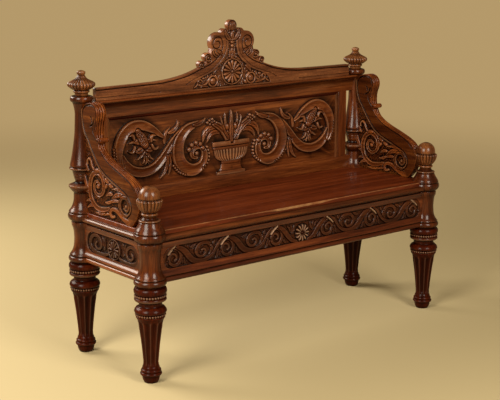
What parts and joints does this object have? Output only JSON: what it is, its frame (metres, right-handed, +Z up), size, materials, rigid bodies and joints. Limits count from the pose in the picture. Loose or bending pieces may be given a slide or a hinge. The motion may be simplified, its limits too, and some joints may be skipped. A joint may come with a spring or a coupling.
{
  "type": "hall bench",
  "caption": "Carved hardwood hall bench with turned legs and posts, shaped arms, a fixed plank seat, a framed panel back and a scrolled crest.",
  "frame": {"origin": "on the floor under the middle of the bench, halfway between the four post axes", "axes": "+X to the sitter's left seen from the front (the viewer's right), -Y out of the front, +Z up"},
  "size_m": [1.2804, 0.4604, 1.031],
  "materials": {
    "polished_wood": "French polished, dark red-brown",
    "polished_seat": "French polished, redder, lightly worn",
    "frame_wood": "planed, stained, unpolished",
    "screw_steel": "plain steel"
  },
  "bodies": {
    "root": {"arm_dowels": "frame_wood", "back_bottom_rail": "polished_wood", "back_dowels": "frame_wood", "back_left_stile": "polished_wood", "back_panel": "polished_wood", "back_right_stile": "polished_wood", "back_top_rail": "polished_wood", "corner_block_screws": "screw_steel", "cornice": "polished_wood", "crest_board": "polished_wood", "crest_dowels": "frame_wood", "front_left_corner_block": "frame_wood", "front_left_finial": "polished_wood", "front_left_leg": "polished_wood", "front_left_post": "polished_wood", "front_rail": "polished_wood", "front_rail_moulding": "polished_wood", "front_right_corner_block": "frame_wood", "front_right_finial": "polished_wood", "front_right_leg": "polished_wood", "front_right_post": "polished_wood", "left_arm": "polished_wood", "left_rail_moulding": "polished_wood", "left_side_rail": "polished_wood", "panel_left_moulding": "polished_wood", "panel_right_moulding": "polished_wood", "panel_top_moulding": "polished_wood", "rear_left_corner_block": "frame_wood", "rear_left_finial": "polished_wood", "rear_left_leg": "polished_wood", "rear_left_post": "polished_wood", "rear_rail": "frame_wood", "rear_right_corner_block": "frame_wood", "rear_right_finial": "polished_wood", "rear_right_leg": "polished_wood", "rear_right_post": "polished_wood", "right_arm": "polished_wood", "right_rail_moulding": "polished_wood", "right_side_rail": "polished_wood", "seat_bearer": "frame_wood", "seat_board": "polished_seat", "seat_front_moulding": "polished_wood", "seat_glue_blocks": "frame_wood", "seat_left_moulding": "polished_wood", "seat_right_moulding": "polished_wood"}
  },
  "joints": []
}
